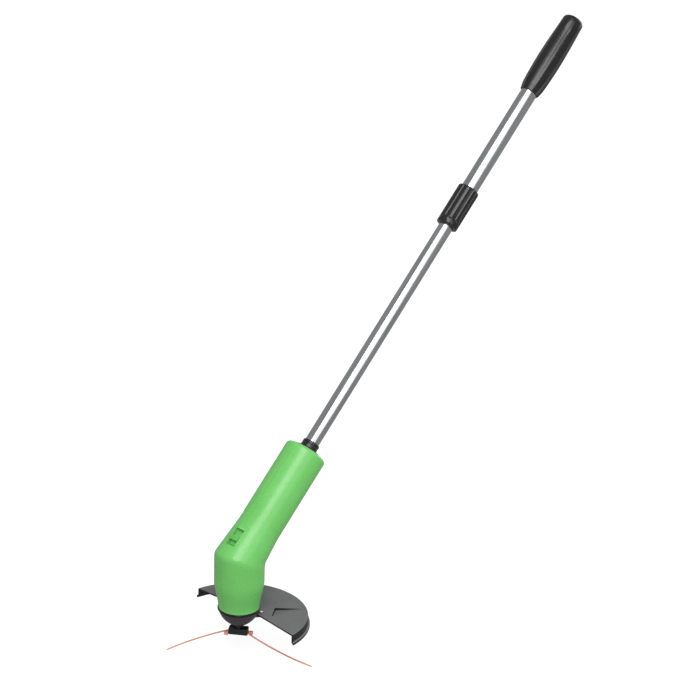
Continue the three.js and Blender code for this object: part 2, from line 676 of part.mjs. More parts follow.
// The collet grips the lower tube when the sleeve around it is turned.
const COLLET = { start: 514, end: 548, r: 12.6 };
const colletProfile = [
  [LOWER_TUBE.r + GAP, COLLET.start], [COLLET.r, COLLET.start], [COLLET.r, COLLET.end],
  [UPPER_TUBE.r + GAP, COLLET.end], [UPPER_TUBE.r + GAP, UPPER_TUBE.start - GAP],
  [LOWER_TUBE.r + GAP, UPPER_TUBE.start - GAP],
];
add(pole, "lock_collet", turned(colletProfile, 20), nylon);

const hollow = { r: COLLET.r + 0.35, start: COLLET.start - 0.5, end: COLLET.end + 0.5 };
const sleeveProfile = [
  [LOWER_TUBE.r + 0.4, SLEEVE.start], [SLEEVE.r - 1, SLEEVE.start],
  [SLEEVE.r, SLEEVE.start + 1.5], [SLEEVE.r, SLEEVE.end - 1.5], [SLEEVE.r - 1, SLEEVE.end],
  [UPPER_TUBE.r + GAP, SLEEVE.end], [UPPER_TUBE.r + GAP, hollow.end], [hollow.r, hollow.end],
  [hollow.r, hollow.start], [LOWER_TUBE.r + 0.4, hollow.start],
];
add(pole, "lock_sleeve", turned(sleeveProfile, 24), blackGloss);

// Grip: swells in the middle, and its far end is a small flat.
function gripProfile() {
  const outline = [[0, 12.9], [11, 14.9], [32, 16], [55, 16.4], [78, 15.9], [96, 15.2]];
  const outside = outline.map(([along, r]) => [r, GRIP.start + along]);
  const end = [[14.3, GRIP.end - 6], [12.8, GRIP.end - 2], [9.5, GRIP.end], [0, GRIP.end]];
  const boreEnd = UPPER_TUBE.end + GAP;
  const bore = [[0, boreEnd], [UPPER_TUBE.r + GAP, boreEnd], [UPPER_TUBE.r + GAP, GRIP.start]];
  return [...outside, ...end, ...bore];
}
add(pole, "grip", turned(gripProfile(), 24), blackGloss);

// ---- Cutter ----

const shaftTop = bellBottom + 6;
add(cutter, "motor_shaft", rod(SHAFT_R, 4, shaftTop), steel);

// Three-pole laminated core: each pole is a stem with a wide shoe and a winding.
const stack = [50, 66];
const poleAngles = [0, 1, 2].map((i) => (i * 2 * Math.PI) / 3);

function armature() {
  const core = solid(rod(4.6, ...stack)); // round the shaft
  const stems = poleAngles.map((angle) =>
    solid(block([3, 9.5], [-1.8, 1.8], stack).rotateZ(angle)),
  );
  const shoes = poleAngles.map((angle) => {
    const wedge = prism([[2, 0], [13, 9.5], [13, -9.5]], ...stack);
    return solid(ring(8.4, 10.2, ...stack, 24)).intersect(solid(wedge.rotateZ(angle)));
  });
  return cut(join(core, ...stems, ...shoes), solid(rod(SHAFT_R + GAP, 40, 80)));
}
add(cutter, "armature", armature(), laminations);

poleAngles.forEach((angle, i) => {
  const coil = block([5, 7.2], [-3.6, 3.6], [stack[0] - 2, stack[1] + 2]);
  const stem = block([4, 8], [-1.8 - GAP, 1.8 + GAP], [stack[0] - GAP, stack[1] + GAP]);
  const winding = geometryOf(cut(solid(coil), solid(stem))).rotateZ(angle);
  add(cutter, `winding_${i + 1}`, winding, copper);
});
add(cutter, "commutator", ring(SHAFT_R + GAP, 4, 68.5, 74.5, SMALL_ROUND), copper);

// Hub: a block with a channel for each tie and a neck that takes the shaft.
function hub() {
  const [halfLength, halfSide, corner] = [HUB.length / 2, HUB.width / 2, 1.2];
  const outline = [
    [halfLength, -halfSide + corner], [halfLength, halfSide - corner],
    [halfLength - corner, halfSide], [-halfLength + corner, halfSide],
    [-halfLength, halfSide - corner], [-halfLength, -halfSide + corner],
    [-halfLength + corner, -halfSide], [halfLength - corner, -halfSide],
  ];
  const body = solid(prism(outline, 0, HUB.height));
  const neck = solid(rod(HUB.neckR, HUB.height - 1, HUB.neckTop));
  const shaftHole = solid(rod(SHAFT_R + GAP, 3.7, HUB.neckTop + 1));
  const channels = [-TIE.y, TIE.y].map((y) =>
    solid(
      block(
        [-halfLength - 1, halfLength + 1],
        [y - TIE.width / 2 - GAP, y + TIE.width / 2 + GAP],
        [TIE.z - TIE.t / 2 - GAP, TIE.z + TIE.t / 2 + GAP],
      ),
    ),
  );
  return cut(join(body, neck), shaftHole, ...channels);
}
add(cutter, "hub", hub(), blackGloss);

// A cable tie: its strap runs through the hub and droops along a curve, and its
// head stops it at the other end. Bend is the curve's control point and tip its end.
function cableTie(bend, tip) {
  const exit = HUB.length / 2;
  const tail = new THREE.QuadraticBezierCurve(
    new THREE.Vector2(exit + 0.4, TIE.z),
    new THREE.Vector2(...bend),
    new THREE.Vector2(...tip),
  );
  const line = [new THREE.Vector2(-exit - 3, TIE.z), ...tail.getPoints(9)];
  const offset = (sign) =>
    line.map((point, i) => {
      const before = line[Math.max(i - 1, 0)];
      const after = line[Math.min(i + 1, line.length - 1)];
      const along = after.clone().sub(before).normalize();
      const t = (sign * TIE.t) / 2;
      return [point.x - along.y * t, point.y + along.x * t];
    });
  const strap = prism([...offset(-1), ...offset(1).reverse()], -TIE.width / 2, TIE.width / 2);
  const head = block(
    [-exit - GAP - TIE_HEAD.length, -exit - GAP],
    [-TIE_HEAD.halfWidth, TIE_HEAD.halfWidth],
    [TIE.z - TIE_HEAD.below, TIE.z + TIE_HEAD.above],
  );
  return join(solid(strap.rotateX(Math.PI / 2)), solid(head));
}
const tieA = geometryOf(cableTie([57, -25], [94, -35.5])).translate(0, -TIE.y, 0);
const tieB = geometryOf(cableTie([53, -12], [92.5, -35])).rotateZ(Math.PI).translate(0, TIE.y, 0);
add(cutter, "tie_a", tieA, orange);
add(cutter, "tie_b", tieB, orange);

export default trimmer;
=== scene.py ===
"""Looks of the string trimmer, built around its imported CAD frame.

The frame is in metres with +Z up. Shapes here are written in millimetres: those of the
head in the frame's own axes, and those of the pole and the upper barrel in the pole's
axes, where z runs up the pole from the knuckle, -x is the top side and +x the underside.
"""

import json
import math

import bmesh
import bpy
from mathutils import Matrix, Vector


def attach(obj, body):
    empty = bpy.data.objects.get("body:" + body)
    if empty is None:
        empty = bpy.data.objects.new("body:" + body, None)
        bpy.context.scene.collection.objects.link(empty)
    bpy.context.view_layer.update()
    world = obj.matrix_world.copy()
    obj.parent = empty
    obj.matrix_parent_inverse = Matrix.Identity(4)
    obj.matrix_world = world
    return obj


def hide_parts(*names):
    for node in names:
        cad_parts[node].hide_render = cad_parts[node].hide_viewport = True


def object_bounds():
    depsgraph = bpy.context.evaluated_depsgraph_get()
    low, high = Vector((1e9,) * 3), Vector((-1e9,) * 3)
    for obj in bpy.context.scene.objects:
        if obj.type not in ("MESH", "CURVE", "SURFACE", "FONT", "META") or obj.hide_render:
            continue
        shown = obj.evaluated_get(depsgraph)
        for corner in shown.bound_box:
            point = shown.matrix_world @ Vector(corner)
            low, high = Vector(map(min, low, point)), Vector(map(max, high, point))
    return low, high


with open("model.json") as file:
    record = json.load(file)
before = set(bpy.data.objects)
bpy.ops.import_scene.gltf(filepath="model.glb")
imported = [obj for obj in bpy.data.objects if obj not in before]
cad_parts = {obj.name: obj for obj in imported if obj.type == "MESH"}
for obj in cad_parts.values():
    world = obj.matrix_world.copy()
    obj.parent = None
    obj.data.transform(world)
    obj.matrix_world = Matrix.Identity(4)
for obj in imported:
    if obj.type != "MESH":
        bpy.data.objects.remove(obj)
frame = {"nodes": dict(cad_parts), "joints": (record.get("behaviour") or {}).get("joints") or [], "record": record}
CAD_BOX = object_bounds()

# ---- The frame's own places ----

MM = 0.001
JOINTS = {joint["name"]: joint for joint in frame["joints"]}
POLE_AXIS = Vector(JOINTS["pole_slide"]["axis"]).normalized()
TILT = math.atan2(POLE_AXIS.x, POLE_AXIS.z)
TURN_PLACE = Vector(JOINTS["head_turn"]["pos_m"]) / MM
KNUCKLE_Z = TURN_PLACE.z - TURN_PLACE.x / math.tan(TILT)
HEAD = Matrix.Identity(4)
POLE = Matrix.Translation((0, 0, KNUCKLE_Z)) @ Matrix.Rotation(TILT, 4, "Y")
FROM_POLE = POLE.inverted()


def span(node, axis, along_pole=False):
    """A CAD node's lowest and highest coordinate on an axis, in mm."""
    to_local = FROM_POLE if along_pole else HEAD
    points = [to_local @ (v.co / MM) for v in frame["nodes"][node].data.vertices]
    values = [p["xyz".index(axis)] for p in points]
    return min(values), max(values)


def reach(node, along_pole=False):
    """A CAD node's largest radius about the spindle or the pole, in mm."""
    to_local = FROM_POLE if along_pole else HEAD
    points = [to_local @ (v.co / MM) for v in frame["nodes"][node].data.vertices]
    return max(math.hypot(p.x, p.y) for p in points)


GAP = 0.3  # between pieces that touch

# Housing
WALL = 2.2
KNUCKLE_R = 31.4
KNUCKLE_CURVE = 4.5  # the barrels' outlines turn into each other over this length
MOUTH_R = 25.8
BULGE_Z = 74  # the lower barrel has swollen to the knuckle's radius here
MOUTH_Z = span("housing_left", "z")[0]
UPPER_R = 27.4
UPPER_END = span("housing_left", "z", True)[1]
NECK_START, NECK_END = -8, 44  # the upper barrel tapers between these
END_WALL = 3
END_ROUNDING = 4.5
SOCKET_HOLE_R = 14.3
POCKET = {"start": 5, "end": 29.5, "half_width": 7, "floor": -23.6, "floor_t": 1.5}
SLIDER_AT = 16.3
SLIDER_TRAVEL = 5
SLOT = {"half_width": 2, "start": SLIDER_AT - 2.5, "end": SLIDER_AT + SLIDER_TRAVEL + 2.5}
THUMB = {"half_length": 3.2, "height": 5.6, "ridge": 1, "ridge_half": 0.7, "pitch": 2.2}
SLIDER_BASE = {"start": 8, "end": 24.1, "t": 1.1}
STEM = {"half_width": 1.5, "half_length": 2, "reach": 5.4}
DOOR = {"start": 31, "end": 136, "half_width": 16}
DOOR_RIB = {"starts": (121, 124, 127), "length": 1.4, "half_width": 5, "height": 0.55}
SCREW_AXES = [(-20, 60), (20, 60)] + [
    (p.x, p.z) for p in (POLE @ Vector((-18, 0, 52)), POLE @ Vector((-18, 0, 131)))
]
SCREW_POST = {"r": 3.4, "hole_r": 1.8, "head_hole_r": 3.1, "seat_y": 12, "hole_end_y": -9.5}

# Guard
PLATE_TOP = span("guard", "z")[1]
PLATE_T = 2
PLATE_BORE = 22.8
PLATE_R = 86.6
LIP_BOTTOM = span("guard", "z")[0]
LIP_TOP = LIP_BOTTOM + 3
LIP_R = 88.9
GUARD_SCREW = (23.2, 15.6)
GUARD_SCREW_HOLE_R = 1.9
GUARD_FRONT = ((15.8, 22), (9.2, 92))  # the front edge's corner, and a point past its end
LUG = {"r": 3.6, "web_half": 2.6, "bottom": 21.2, "hole_r": 1.75}
STEP = {"corner": (43.6, 18.7, 3.2), "near": (25.7, 31.9, 2.6), "far": (67.5, 44.1, 0.05)}
STEP_DRAFT = 1.2

# Pole: each tube's inner and outer radius, and the bores that they run in
LOWER_TUBE = (8.7, 9.5)
UPPER_TUBE = (10.2, 11)
LOWER_BORE = 9.9
UPPER_BORE = 11.3
COLLET_BORE = 12.95
SOCKET_R = 13.9

# ---- Materials ----


def srgb(code):
    """Linear RGBA of a six-digit hex colour."""
    channels = [int(code[i : i + 2], 16) / 255 for i in (0, 2, 4)]
    linear = [c / 12.92 if c <= 0.04045 else ((c + 0.055) / 1.055) ** 2.4 for c in channels]
    return (*linear, 1)


def shader(name):
    """A new material's node tree, with its Principled shader."""
    look = bpy.data.materials.new(name)
    look.use_nodes = True
    return look, look.node_tree, look.node_tree.nodes["Principled BSDF"]


def noise(tree, scale, detail=2.0, stretch=(1, 1, 1), along_pole=False):
    """A noise texture in the object's own coordinates; scale is in features per metre."""
    coords = tree.nodes.new("ShaderNodeTexCoord")
    turn = tree.nodes.new("ShaderNodeMapping")
    turn.inputs["Rotation"].default_value = (0, -TILT if along_pole else 0, 0)
    squeeze = tree.nodes.new("ShaderNodeMapping")
    squeeze.inputs["Scale"].default_value = stretch
    texture = tree.nodes.new("ShaderNodeTexNoise")
    texture.inputs["Scale"].default_value = scale
    texture.inputs["Detail"].default_value = detail
    tree.links.new(coords.outputs["Object"], turn.inputs["Vector"])
    tree.links.new(turn.outputs["Vector"], squeeze.inputs["Vector"])
    tree.links.new(squeeze.outputs["Vector"], texture.inputs["Vector"])
    return texture.outputs["Fac"]


def spread(tree, fac, low, high):
    """Maps the middle of a noise's range onto low to high."""
    node = tree.nodes.new("ShaderNodeMapRange")
    node.inputs["From Min"].default_value = 0.3
    node.inputs["From Max"].default_value = 0.7
    node.inputs["To Min"].default_value = low
    node.inputs["To Max"].default_value = high
    tree.links.new(fac, node.inputs["Value"])
    return node.outputs["Result"]


def mix(tree, fac, first, second):
    """Mixes two colours, each a constant or a socket."""
    node = tree.nodes.new("ShaderNodeMix")
    node.data_type = "RGBA"
    colour_a, colour_b = [s for s in node.inputs if s.type == "RGBA"]
    for socket, value in ((colour_a, first), (colour_b, second)):
        if isinstance(value, tuple):
            socket.default_value = value
        else:
            tree.links.new(value, socket)
    tree.links.new(fac, node.inputs["Factor"])
    return [s for s in node.outputs if s.type == "RGBA"][0]


def bump(tree, heights, distance, strength):
    """A bump node fed by a height socket, giving the normal."""
    node = tree.nodes.new("ShaderNodeBump")
    node.inputs["Distance"].default_value = distance
    node.inputs["Strength"].default_value = strength
    tree.links.new(heights, node.inputs["Height"])
    return node.outputs["Normal"]


def edge_mask(tree, low, high):
    """0 on flats and 1 on convex edges, from the mesh's pointiness."""
    geometry = tree.nodes.new("ShaderNodeNewGeometry")
    node = tree.nodes.new("ShaderNodeMapRange")
    node.inputs["From Min"].default_value = low
    node.inputs["From Max"].default_value = high
    tree.links.new(geometry.outputs["Pointiness"], node.inputs["Value"])
    return node.outputs["Result"]


def plastic(name, dark, light, roughness, grain=1400, depth=0.00003, strength=0.25, worn=None):
    """Moulded plastic: slow colour drift, spark-eroded grain and slightly rubbed edges."""
    look, tree, surface = shader(name)
    drift = spread(tree, noise(tree, 28, 3), 0, 1)
    colour = mix(tree, drift, srgb(dark), srgb(light))
    if worn:
        colour = mix(tree, edge_mask(tree, 0.53, 0.62), colour, srgb(worn))
    tree.links.new(colour, surface.inputs["Base Color"])
    rough = spread(tree, noise(tree, 160, 4), roughness - 0.05, roughness + 0.05)
    tree.links.new(rough, surface.inputs["Roughness"])
    grained = bump(tree, noise(tree, grain, 3), depth, strength)
    tree.links.new(grained, surface.inputs["Normal"])
    return look


def painted_side_shade(look, side_shade_colour):
    """Keeps a plastic's colour where it faces up, and paints shade onto its sides: faces that turn away from up
    take a darker colour in place of the shade they would fall in.
    """
    tree = look.node_tree
    surface = tree.nodes["Principled BSDF"]
    coords = tree.nodes.new("ShaderNodeTexCoord")
    split = tree.nodes.new("ShaderNodeSeparateXYZ")
    tree.links.new(coords.outputs["Normal"], split.inputs["Vector"])
    facing = tree.nodes.new("ShaderNodeMapRange")
    facing.inputs["From Min"].default_value = 0.6
    facing.inputs["From Max"].default_value = 0.9
    tree.links.new(split.outputs["Z"], facing.inputs["Value"])
    top = surface.inputs["Base Color"].links[0].from_socket
    # Painted shade: the dark side colour fades in as the faces turn away from up.
    colour = mix(tree, facing.outputs["Result"], srgb(side_shade_colour), top)
    tree.links.new(colour, surface.inputs["Base Color"])
    return look


def metal(name, dark, light, roughness, drawn=None, scale=900):
    """Metal with fine marks; drawn stretches them along the pole or the spindle."""
    look, tree, surface = shader(name)
    surface.inputs["Metallic"].default_value = 1
    stretch = (1, 1, 0.02) if drawn else (1, 1, 1)
    along_pole = drawn == "pole"
    marks = noise(tree, scale, 3, stretch, along_pole)
    colour = mix(tree, spread(tree, marks, 0, 1), srgb(dark), srgb(light))
    tree.links.new(colour, surface.inputs["Base Color"])
    patches = noise(tree, scale / 3, 4, stretch, along_pole)
    rough = spread(tree, patches, roughness - 0.04, roughness + 0.06)
    tree.links.new(rough, surface.inputs["Roughness"])
    if not drawn:
        tree.links.new(bump(tree, marks, 0.00001, 0.15), surface.inputs["Normal"])
    return look


GREEN = plastic("green_abs", "6ABF5F", "70C465", 0.29, worn="86D07B")
DARK_GREEN = plastic("green_abs_slider", "66BC5C", "6CC162", 0.36, worn="86D07B")
BLACK_GLOSS = plastic("black_gloss", "161617", "1D1D1F", 0.24, grain=900, worn="3A3A3C")
BLACK_SATIN = plastic("black_satin", "38313A", "443C44", 0.46, worn="5A535A")
RIM_BLACK = plastic("rim_black", "0B0B0C", "111112", 0.22, grain=900, worn="2C2C2E")
# The guard's faces that don't point up, its skirt and step walls among them, get painted shade: 0F0F10 in place of
# the grey.
GUARD_GREY = painted_side_shade(
    plastic("guard_grey", "5D5D5E", "68686A", 0.55, grain=1500, depth=0.00008, strength=0.5),
    "0F0F10",
)
STEEL = metal("tube_steel", "B4B5B7", "D2D3D5", 0.16, drawn="pole")
SHAFT_STEEL = metal("shaft_steel", "A9ABAD", "C7C8CA", 0.2, drawn="spindle")
ZINC = metal("zinc", "D2D4D3", "E8EAE8", 0.36, scale=500)
ORANGE = plastic("orange_nylon", "CF7F68", "DA947F", 0.4, grain=3000, worn="E8B5A5")
COPPER = metal("copper", "A8613A", "C07A4C", 0.28, drawn="spindle")
BRONZE = metal("bronze", "8C6F3E", "A3864E", 0.45, scale=2500)
FERRITE = plastic("ferrite", "2C2C2F", "3A3A3D", 0.62, grain=3500, depth=0.00005, strength=0.5)
CARBON = plastic("carbon", "26262A", "313136", 0.55, grain=4000, depth=0.00004, strength=0.5)
LAMINATIONS = metal("laminations", "6A6D72", "8A8D92", 0.42, scale=2500)
CELL_WRAP = plastic("cell_wrap", "2C4688", "34529A", 0.3, grain=600)
NYLON = plastic("nylon", "D3CEC0", "DFDACE", 0.45)
RED_WIRE = plastic("wire_red", "A82A22", "B8362C", 0.42, grain=2500)
BLACK_WIRE = plastic("wire_black", "161616", "202020", 0.42, grain=2500)

LOOKS = {
    "green_abs": GREEN,
    "green_abs_dark": DARK_GREEN,
    "black_gloss": BLACK_GLOSS,
    "black_satin": BLACK_SATIN,
    "grey_black": GUARD_GREY,
    "tube_steel": STEEL,
    "zinc": ZINC,
    "orange_nylon": ORANGE,
    "copper": COPPER,
    "bronze": BRONZE,
    "ferrite": FERRITE,
    "carbon": CARBON,
    "laminations": LAMINATIONS,
    "cell_wrap": CELL_WRAP,
    "nylon": NYLON,
    "wire_red": RED_WIRE,
    "wire_black": BLACK_WIRE,
}
NODE_SLOTS = {part["node"]: part["material_slot"] for part in frame["record"]["subparts"]}
NODE_BODIES = {
    node: body
    for body, nodes in frame["record"]["behaviour"]["bodies"].items()
    for node in nodes
}

# ---- Mesh making ----


def linked(name, data):
    """A new object in the scene, for a mesh, a light or a camera."""
    obj = bpy.data.objects.new(name, data)
    bpy.context.scene.collection.objects.link(obj)
    return obj


def to_mesh(bm, name):
    """A mesh from a bmesh, which it uses up."""
    mesh = bpy.data.meshes.new(name)
    bm.to_mesh(mesh)
    bm.free()
    return mesh


def clean(bm):
    """Joins points that lie together, and turns the faces outwards."""
    bmesh.ops.remove_doubles(bm, verts=bm.verts, dist=1e-5)
    bmesh.ops.recalc_face_normals(bm, faces=bm.faces)
    return bm


def strips(rows, closed_across=True, closed_along=False, caps=False):
    """A bmesh of quads between rows of points. Rows may close on themselves."""
    bm = bmesh.new()
    grid = [[bm.verts.new(p) for p in row] for row in rows]
    pairs = list(zip(grid, grid[1:]))
    if closed_along:
        pairs.append((grid[-1], grid[0]))
    for a, b in pairs:
        count = len(a)
        for i in range(count if closed_across else count - 1):
            j = (i + 1) % count
            bm.faces.new((a[i], a[j], b[j], b[i]))
    if caps:
        bm.faces.new(grid[0])
        bm.faces.new(grid[-1])
    return bm


def wall(rows):
    """A curved wall. Each row of points runs out along its outside and back inside it."""
    bm = strips(rows)
    bm.verts.ensure_lookup_table()
    count = len(rows[0])
    for first in (0, (len(rows) - 1) * count):
        for i in range(count // 2 - 1):
            corners = (i, i + 1, count - 2 - i, count - 1 - i)
            bm.faces.new([bm.verts[first + corner] for corner in corners])
    return bm


def revolved(profile, sides=72):
    """A profile of (radius, height) points turned about z, closing on itself or the axis."""
    rows = []
    for i in range(sides):
        angle = 2 * math.pi * i / sides
        rows.append([Vector((r * math.cos(angle), r * math.sin(angle), z)) for r, z in profile])
    on_axis = profile[0][0] == 0 and profile[-1][0] == 0
    bm = strips(rows, closed_across=not on_axis, closed_along=True)
    bmesh.ops.remove_doubles(bm, verts=bm.verts, dist=1e-5)
    bmesh.ops.dissolve_degenerate(bm, edges=bm.edges, dist=1e-5)
    return bm


def cylinder(r, low, high, sides=32):
    """A round rod on z between two heights."""
    return revolved([(0, low), (r, low), (r, high), (0, high)], sides)


def quadratic(a, b, c, steps):
    """Points along a quadratic curve from a to c, pulled towards b."""
    a, b, c = Vector(a), Vector(b), Vector(c)
    shares = [i / steps for i in range(steps + 1)]
    return [a * (1 - t) ** 2 + b * 2 * t * (1 - t) + c * t**2 for t in shares]


def soften(profile, radius, steps=3):
    """A profile with its corners rounded. Points on the axis stay."""
    closed = not (profile[0][0] == 0 and profile[-1][0] == 0)
    count = len(profile)
    out = []
    for i, (r, z) in enumerate(profile):
        if not closed and i in (0, count - 1):
            out.append((r, z))
            continue
        here = Vector((r, z))
        back = Vector(profile[i - 1]) - here
        ahead = Vector(profile[(i + 1) % count]) - here
        turn = back.angle(ahead, math.pi)
        if turn > math.radians(160):
            out.append((r, z))
            continue
        cut = min(radius / math.tan(turn / 2), back.length * 0.45, ahead.length * 0.45)
        start, end = here + back.normalized() * cut, here + ahead.normalized() * cut
        out += quadratic(start, here, end, steps)
    return out


def prism(outline, low, high):
    """An outline of (x, y) points raised between two heights."""
    bm = bmesh.new()
    bottom = [bm.verts.new((x, y, low)) for x, y in outline]
    top = [bm.verts.new((x, y, high)) for x, y in outline]
    bm.faces.new(bottom)
    bm.faces.new(top)
    for i in range(len(outline)):
        j = (i + 1) % len(outline)
        bm.faces.new((bottom[i], bottom[j], top[j], top[i]))
    return bm


def block(xs, ys, zs):
    """A box between two corners."""
    return prism([(xs[0], ys[0]), (xs[1], ys[0]), (xs[1], ys[1]), (xs[0], ys[1])], *zs)


def bevelled(bm, width, segments=2, angle=30):
    """Rounds the edges of a bmesh that turn by more than an angle."""
    clean(bm)
    limit = math.radians(angle)
    sharp = [e for e in bm.edges if len(e.link_faces) == 2 and e.calc_face_angle(0) > limit]
    bmesh.ops.bevel(
        bm, geom=sharp, offset=width, offset_type="OFFSET", segments=segments,
        profile=0.5, affect="EDGES", clamp_overlap=True,
    )
    return bm


def moved(bm, matrix):
    """The same bmesh in another place."""
    bmesh.ops.transform(bm, matrix=matrix, verts=bm.verts)
    return bm


def merged(*parts):
    """Several bmeshes as one, without joining their surfaces."""
    out = bmesh.new()
    for bm in parts:
        mesh = to_mesh(bm, "part")
        out.from_mesh(mesh)
        bpy.data.meshes.remove(mesh)
    return out


def combine(base, operation, *tools):
    """Joins bmesh tools to a bmesh, or cuts them from it or meets them, one after another."""
    target = linked("target", to_mesh(clean(base), "target"))
    for bm in tools:
        tool = linked("tool", to_mesh(clean(bm), "tool"))
        modifier = target.modifiers.new("boolean", "BOOLEAN")
        modifier.operation = operation
        modifier.solver = "EXACT"
        modifier.object = tool
        graph = bpy.context.evaluated_depsgraph_get()
        result = bpy.data.meshes.new_from_object(target.evaluated_get(graph))
        target.modifiers.clear()
        target.data = result
        bpy.data.objects.remove(tool)
    out = bmesh.new()
    out.from_mesh(target.data)
    bpy.data.objects.remove(target)
    return out


REPLACED = set()


def add(name, bm, look, node, place=HEAD, crease=32):
    """Turns a bmesh in mm into a piece that stands for a CAD node and rides on its body."""
    moved(bm, Matrix.Scale(MM, 4) @ place)
    bmesh.ops.recalc_face_normals(bm, faces=bm.faces)
    mesh = to_mesh(bm, name)
    mesh.polygons.foreach_set("use_smooth", [True] * len(mesh.polygons))
    mesh.set_sharp_from_angle(angle=math.radians(crease))
    mesh.materials.append(look)
    obj = linked(name, mesh)
    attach(obj, NODE_BODIES[node])
    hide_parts(node)
    REPLACED.add(node)


# ---- Housing ----


def lower_radius(z):
    """The lower barrel's radius at a height up the spindle."""
    t = min(max((z - MOUTH_Z) / (BULGE_Z - MOUTH_Z), 0), 1)
    return MOUTH_R + (KNUCKLE_R - MOUTH_R) * math.sin(math.pi / 2 * t**1.6)


def upper_radius(s):
    """The upper barrel's radius at a distance up the pole from the knuckle."""
    t = min(max((s - NECK_START) / (NECK_END - NECK_START), 0), 1)
    return UPPER_R + (KNUCKLE_R - UPPER_R) * (1 - t)


def barrel_line(angle, inset, drop=0):
    """The barrel's outline at one angle about its bent axis, from its mouth to its end hole.

    Drop draws the line in, for the seam's rounded edge.
    """
    cos, sin = math.cos(angle), math.sin(angle)
    miter = (KNUCKLE_R - inset) * cos * math.tan(TILT / 2)
    curve = KNUCKLE_CURVE
    shrink = inset + drop

    def low(z):
        r = lower_radius(z) - shrink
        return Vector((r * cos, r * sin, z))

    def high(s, r=None):
        r = upper_radius(s) - shrink if r is None else r
        return POLE @ Vector((r * cos, r * sin, s))

    lower_count, curve_count, upper_count, corner_count = 16, 9, 26, 6
    start, lower_end = MOUTH_Z + drop, KNUCKLE_Z - miter - curve
    line = [low(start + (lower_end - start) * i / lower_count) for i in range(lower_count)]
    first, last = low(lower_end), high(miter + curve)
    knee_r = KNUCKLE_R - shrink
    knee_z = KNUCKLE_Z - knee_r * cos * math.tan(TILT / 2)
    knee = Vector((knee_r * cos, knee_r * sin, knee_z))
    line += quadratic(first, knee, last, curve_count)[:-1]
    end = UPPER_END - (END_WALL if inset else drop)
    corner = END_ROUNDING - inset
    straight_end = end - corner
    begin = miter + curve
    line += [high(begin + (straight_end - begin) * i / upper_count) for i in range(upper_count)]
    for i in range(corner_count + 1):
        turn = math.pi / 2 * i / corner_count
        r = UPPER_R - shrink - corner * (1 - math.cos(turn))
        line.append(high(end - corner * (1 - math.sin(turn)), r))
    line.append(high(end, (UPPER_R - END_ROUNDING + SOCKET_HOLE_R) / 2))
    line.append(high(end, SOCKET_HOLE_R))
    return line


def half_shell(side):
    """One half of the housing's wall. Its seam edges are slightly rounded."""
    seam = [(GAP / 2, 0.14), (0.2, 0.04), (0.3, 0.0)]  # distance from the seam, drop
    columns = 44
    near = [(math.asin(y / KNUCKLE_R), drop) for y, drop in seam]
    step = math.pi / columns
    middle = [(step * i, 0) for i in range(1, columns)]
    far = [(math.pi - a, drop) for a, drop in reversed(near)]
    rows = []
    for angle, drop in near + middle + far:
        outside = barrel_line(side * angle, 0, drop)
        inside = barrel_line(side * angle, WALL)
        rows.append(outside + inside[::-1])
    return wall(rows)


def seam_tongues():
    """Strips inside the seam that lap both halves, clear of the pocket and the door."""
    bottom, top = -math.inf, UPPER_END - END_WALL - 1
    runs = [
        (0, bottom, DOOR["start"] - 2),
        (0, DOOR["end"] + 2, top),
        (math.pi, bottom, POCKET["start"] - WALL - 1),
        (math.pi, POCKET["end"] + WALL + 1, top),
    ]
    half = 1
    tongues = []
    for angle, low, high in runs:
        rows = []
        for a, b in zip(barrel_line(angle, WALL * 0.6), barrel_line(angle, WALL * 1.2)):
            if low < (FROM_POLE @ a).z < high and a.z > MOUTH_Z + 1:
                corners = ((a, -half), (a, half), (b, half), (b, -half))
                rows.append([Vector((p.x, y, p.z)) for p, y in corners])
        tongues.append(strips(rows, caps=True))
    return merged(*tongues)


def barrel_solid(inset):
    """The barrel as a solid body, drawn in all round."""
    sides = 64
    rows = [barrel_line(2 * math.pi * i / sides, 0, inset) for i in range(sides)]
    bm = strips(rows, closed_across=False, closed_along=True)
    bm.verts.ensure_lookup_table()
    count = len(rows[0])
    for at in (0, count - 1):
        bm.faces.new([bm.verts[side * count + at] for side in range(sides)])
    return bm


def pocket_boss(side):
    """The block round one half of the pocket, from under its floor to under the surface."""
    across, along = 10, 8
    under = 0.7
    ys = sorted((GAP / 2 * side, (POCKET["half_width"] + WALL) * side))
    low, high = POCKET["start"] - WALL, POCKET["end"] + WALL
    inner_x = POCKET["floor"] + POCKET["floor_t"]
    rows = []
    for i in range(along + 1):
        s = low + (high - low) * i / along
        row = []
        for j in range(across + 1):
            y = ys[0] + (ys[1] - ys[0]) * j / across
            row.append(Vector((under - math.sqrt(upper_radius(s) ** 2 - y**2), y, s)))
        row += [Vector((inner_x, ys[1], s)), Vector((inner_x, ys[0], s))]
        rows.append(row)
    return strips(rows, caps=True)


FROM_Z_TO_Y = Matrix.Rotation(-math.pi / 2, 4, "X")


def cross_rod(at, r, ys, sides=40):
    """A rod along y through a point of the XZ plane."""
    rod = cylinder(r, *ys, sides)
    return moved(rod, Matrix.Translation((at[0], 0, at[1])) @ FROM_Z_TO_Y)


